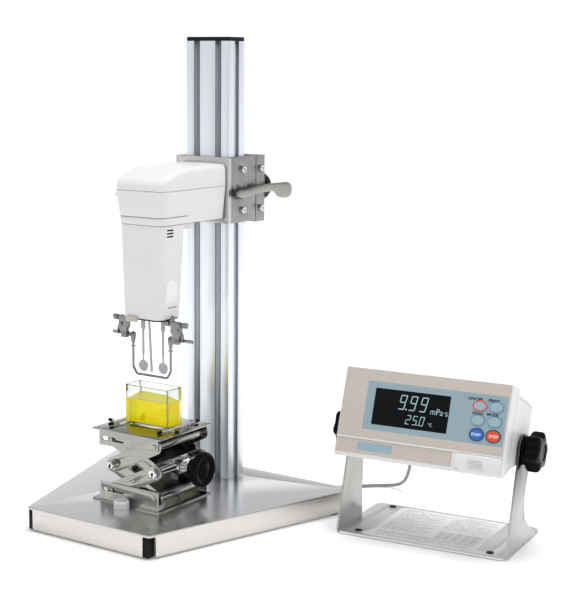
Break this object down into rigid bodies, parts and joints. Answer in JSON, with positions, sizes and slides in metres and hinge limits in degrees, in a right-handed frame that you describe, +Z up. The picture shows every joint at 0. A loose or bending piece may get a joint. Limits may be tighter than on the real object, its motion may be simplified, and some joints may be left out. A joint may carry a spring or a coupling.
{
  "type": "vibration viscometer",
  "caption": "Bench viscometer: stand with a sliding sensor head over a lab jack and cup, wired to a tilting display unit.",
  "frame": {"origin": "centre of the footprint of the whole object (without its cable) on the floor", "axes": "+X to the right along the column's wide face, towards the display unit; +Y to the rear; +Z up"},
  "size_m": [0.5744, 0.3731, 0.536],
  "materials": {
    "stainless_sheet": "brushed",
    "stainless_plate": "satin",
    "jack_steel": "polished",
    "screw_steel": "bright",
    "probe_steel": "satin",
    "sensor_gold_steel": "matt",
    "anodised": "satin anodised",
    "cast_frame": "cast",
    "white_plastic": "fine texture",
    "black_plastic": "satin",
    "black_knob": "gloss",
    "black_rubber": "matt",
    "cable_grey": "matt",
    "lever_grey": "satin",
    "overlay_beige": "printed film",
    "window_black": "gloss",
    "circuit_board": "solder mask",
    "clear_plastic": "clear",
    "key_beige": "printed film",
    "key_blue": "printed film",
    "key_red": "printed film"
  },
  "bodies": {
    "root": {"base_plate": "stainless_sheet", "base_hardware": "black_plastic", "column": "anodised", "column_cap": "black_plastic", "spirit_level": "white_plastic", "cable_clips": "black_plastic", "display_bracket": "stainless_sheet", "jack_base": "jack_steel", "cable_lower": "cable_grey", "cable_coil": "cable_grey", "cable_riser": "cable_grey", "cable_loop": "cable_grey"},
    "foot_front": {"foot_front": "black_rubber"},
    "foot_left": {"foot_left": "black_rubber"},
    "foot_right": {"foot_right": "black_rubber"},
    "display": {"display_front_case": "white_plastic", "display_rear_case": "white_plastic", "display_overlay": "overlay_beige", "display_window": "window_black", "display_electronics": "circuit_board", "display_fittings": "black_plastic", "side_cover": "white_plastic"},
    "tilt_knob_left": {"tilt_knob_left": "black_knob"},
    "tilt_knob_right": {"tilt_knob_right": "black_knob"},
    "carriage": {"carriage_front_plate": "stainless_plate", "carriage_side_plates": "stainless_plate", "carriage_rear_block": "stainless_plate", "carriage_pads": "black_plastic", "carriage_screws": "screw_steel", "head_top_cover": "white_plastic", "head_body_shell": "white_plastic", "head_lower_shell": "white_plastic", "head_bottom_plate": "black_plastic", "drive_unit": "cast_frame", "head_circuit_board": "circuit_board", "temperature_probe": "probe_steel", "protector_holders": "stainless_plate", "protector": "probe_steel"},
    "clamp_lever": {"clamp_lever": "lever_grey"},
    "brake_knob": {"brake_knob": "black_knob"},
    "sensor_plate_left": {"sensor_plate_left": "sensor_gold_steel"},
    "sensor_plate_right": {"sensor_plate_right": "sensor_gold_steel"},
    "protector_lever_left": {"protector_lever_left": "stainless_plate"},
    "protector_lever_right": {"protector_lever_right": "stainless_plate"},
    "jack_lower_arm_inner": {"jack_lower_arm_inner": "jack_steel"},
    "jack_lower_arm_outer": {"jack_lower_arm_outer": "jack_steel"},
    "jack_upper_arm_outer": {"jack_upper_arm_outer": "jack_steel"},
    "jack_upper_arm_inner": {"jack_upper_arm_inner": "jack_steel"},
    "jack_nut_bar": {"jack_nut_bar": "screw_steel"},
    "jack_axle_block": {"jack_axle_block": "screw_steel"},
    "jack_screw_knob": {"jack_screw_knob": "black_knob"},
    "jack_platform": {"jack_platform": "jack_steel", "cup_guides": "screw_steel"},
    "sample_cup": {"sample_cup": "clear_plastic"},
    "key_power": {"key_power": "key_beige"},
    "key_print": {"key_print": "key_beige"},
    "key_hold": {"key_hold": "key_beige"},
    "key_mode": {"key_mode": "key_beige"},
    "key_start": {"key_start": "key_blue"},
    "key_stop": {"key_stop": "key_red"}
  },
  "joints": [
    {"name": "foot_front_turn", "type": "hinge", "parent": "root", "child": "foot_front", "pos_m": [-0.11788, -0.148, 0.005], "axis": [0, 0, 1], "continuous": true},
    {"name": "foot_left_turn", "type": "hinge", "parent": "root", "child": "foot_left", "pos_m": [-0.26788, 0.084, 0.005], "axis": [0, 0, 1], "continuous": true},
    {"name": "foot_right_turn", "type": "hinge", "parent": "root", "child": "foot_right", "pos_m": [0.03212, 0.084, 0.005], "axis": [0, 0, 1], "continuous": true},
    {"name": "display_tilt", "type": "hinge", "parent": "root", "child": "display", "pos_m": [0.16748, 0.08718, 0.1075], "axis": [0.9936, 0.113, 0], "range_deg": [-12, 40], "deforming": ["cable_lower"]},
    {"name": "tilt_knob_left_turn", "type": "hinge", "parent": "display", "child": "tilt_knob_left", "pos_m": [0.05719, 0.07464, 0.1075], "axis": [0.9936, 0.113, 0], "continuous": true},
    {"name": "tilt_knob_right_turn", "type": "hinge", "parent": "display", "child": "tilt_knob_right", "pos_m": [0.27776, 0.09972, 0.1075], "axis": [0.9936, 0.113, 0], "continuous": true},
    {"name": "key_power_press", "type": "slide", "parent": "display", "child": "key_power", "axis": [-0.1067, 0.9387, -0.3279], "range_m": [0, 0.0004], "stiffness_N_per_m": 1500, "springref_m": -0.0002},
    {"name": "key_print_press", "type": "slide", "parent": "display", "child": "key_print", "axis": [-0.1067, 0.9387, -0.3279], "range_m": [0, 0.0004], "stiffness_N_per_m": 1500, "springref_m": -0.0002},
    {"name": "key_hold_press", "type": "slide", "parent": "display", "child": "key_hold", "axis": [-0.1067, 0.9387, -0.3279], "range_m": [0, 0.0004], "stiffness_N_per_m": 1500, "springref_m": -0.0002},
    {"name": "key_mode_press", "type": "slide", "parent": "display", "child": "key_mode", "axis": [-0.1067, 0.9387, -0.3279], "range_m": [0, 0.0004], "stiffness_N_per_m": 1500, "springref_m": -0.0002},
    {"name": "key_start_press", "type": "slide", "parent": "display", "child": "key_start", "axis": [-0.1067, 0.9387, -0.3279], "range_m": [0, 0.0004], "stiffness_N_per_m": 1500, "springref_m": -0.0002},
    {"name": "key_stop_press", "type": "slide", "parent": "display", "child": "key_stop", "axis": [-0.1067, 0.9387, -0.3279], "range_m": [0, 0.0004], "stiffness_N_per_m": 1500, "springref_m": -0.0002},
    {"name": "head_slide", "type": "slide", "parent": "root", "child": "carriage", "axis": [0, 0, 1], "range_m": [-0.04, 0.125], "deforming": ["cable_loop"]},
    {"name": "clamp_lever_turn", "type": "hinge", "parent": "carriage", "child": "clamp_lever", "pos_m": [-0.07788, 0.0634, 0.36], "axis": [1, 0, 0], "range_deg": [-25, 60]},
    {"name": "brake_knob_turn", "type": "hinge", "parent": "carriage", "child": "brake_knob", "pos_m": [-0.10288, 0.121, 0.364], "axis": [0, 1, 0], "continuous": true},
    {"name": "plate_left_vibrate", "type": "slide", "parent": "carriage", "child": "sensor_plate_left", "axis": [0, 1, 0], "range_m": [-0.0004, 0.0004], "stiffness_N_per_m": 400},
    {"name": "plate_right_vibrate", "type": "slide", "parent": "carriage", "child": "sensor_plate_right", "axis": [0, 1, 0], "range_m": [-0.0004, 0.0004], "stiffness_N_per_m": 400},
    {"name": "protector_lever_left_turn", "type": "hinge", "parent": "carriage", "child": "protector_lever_left", "pos_m": [-0.15438, -0.054, 0.2085], "axis": [0, 1, 0], "range_deg": [-30, 30]},
    {"name": "protector_lever_right_turn", "type": "hinge", "parent": "carriage", "child": "protector_lever_right", "pos_m": [-0.08138, -0.054, 0.2085], "axis": [0, 1, 0], "range_deg": [-30, 30]},
    {"name": "jack_lift", "type": "hinge", "parent": "root", "child": "jack_lower_arm_inner", "pos_m": [-0.07958, -0.0515, 0.04], "axis": [0, 1, 0], "range_deg": [-8, 22]},
    {"name": "jack_upper_fold", "type": "hinge", "parent": "jack_lower_arm_inner", "child": "jack_upper_arm_outer", "pos_m": [-0.13938, -0.0515, 0.0689], "axis": [0, 1, 0], "range_deg": [-44, 16]},
    {"name": "jack_platform_level", "type": "hinge", "parent": "jack_upper_arm_outer", "child": "jack_platform", "pos_m": [-0.07958, -0.0515, 0.0978], "axis": [0, 1, 0], "range_deg": [-8, 22]},
    {"name": "jack_lower_cross", "type": "hinge", "parent": "jack_lower_arm_inner", "child": "jack_lower_arm_outer", "pos_m": [-0.10948, -0.0515, 0.05445], "axis": [0, 1, 0], "range_deg": [-44, 16]},
    {"name": "jack_upper_cross", "type": "hinge", "parent": "jack_upper_arm_outer", "child": "jack_upper_arm_inner", "pos_m": [-0.10948, -0.0515, 0.08335], "axis": [0, 1, 0], "range_deg": [-16, 44]},
    {"name": "jack_axle_level", "type": "hinge", "parent": "jack_lower_arm_outer", "child": "jack_axle_block", "pos_m": [-0.07958, -0.0515, 0.0689], "axis": [0, 1, 0], "range_deg": [-8, 22]},
    {"name": "jack_nut_level", "type": "hinge", "parent": "jack_lower_arm_inner", "child": "jack_nut_bar", "pos_m": [-0.13938, -0.0515, 0.0689], "axis": [0, 1, 0], "range_deg": [-22, 8]},
    {"name": "jack_screw_turn", "type": "hinge", "parent": "jack_axle_block", "child": "jack_screw_knob", "pos_m": [-0.05788, -0.0515, 0.0689], "axis": [1, 0, 0], "continuous": true},
    {"name": "cup_slide", "type": "slide", "parent": "jack_platform", "child": "sample_cup", "axis": [0, -1, 0], "range_m": [0, 0.045]}
  ],
  "couplings": [
    {"joint": "jack_upper_fold", "follows": "jack_lift", "ratio": -2},
    {"joint": "jack_platform_level", "follows": "jack_lift", "ratio": 1},
    {"joint": "jack_lower_cross", "follows": "jack_lift", "ratio": -2},
    {"joint": "jack_upper_cross", "follows": "jack_lift", "ratio": 2},
    {"joint": "jack_axle_level", "follows": "jack_lift", "ratio": 1},
    {"joint": "jack_nut_level", "follows": "jack_lift", "ratio": -1},
    {"joint": "plate_right_vibrate", "follows": "plate_left_vibrate", "ratio": -1}
  ]
}
